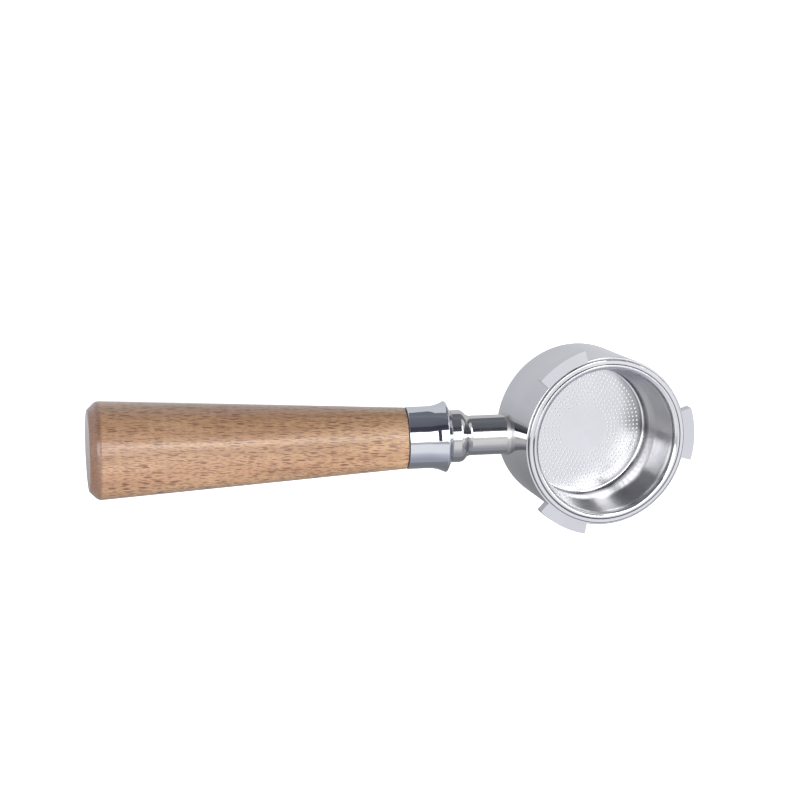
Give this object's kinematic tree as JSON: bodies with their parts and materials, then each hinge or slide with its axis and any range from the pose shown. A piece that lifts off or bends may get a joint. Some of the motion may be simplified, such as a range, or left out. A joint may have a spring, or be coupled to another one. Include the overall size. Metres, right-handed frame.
{
  "type": "portafilter",
  "caption": "Espresso portafilter: an open ring with bayonet lugs, a lift-out perforated filter basket, and a drooping wooden handle with a flared chrome ferrule.",
  "frame": {"origin": "centre of the basket's perforated floor, on its upper face", "axes": "+Z along the basket axis towards the mouth; the handle runs towards -X and droops below the mouth plane"},
  "size_m": [0.23, 0.0716, 0.0739],
  "materials": {
    "body_steel": "polished",
    "stem_steel": "polished",
    "weld": "satin",
    "basket_steel": "bright pressed",
    "ferrule_chrome": "mirror",
    "washer_fibre": "matt",
    "beech": "satin lacquer",
    "insert_brass": "turned",
    "stud_steel": "plain",
    "spring_steel": "drawn wire"
  },
  "bodies": {
    "portafilter": {"body": "body_steel", "weld_bead": "weld", "stem": "stem_steel", "stud": "stud_steel", "ferrule": "ferrule_chrome", "seat_washer": "washer_fibre", "handle": "beech", "insert": "insert_brass", "spring": "spring_steel"},
    "basket": {"basket": "basket_steel"}
  },
  "joints": [
    {"name": "basket_lift", "type": "slide", "parent": "portafilter", "child": "basket", "axis": [0, 0, 1], "range_m": [0, 0.03]}
  ]
}
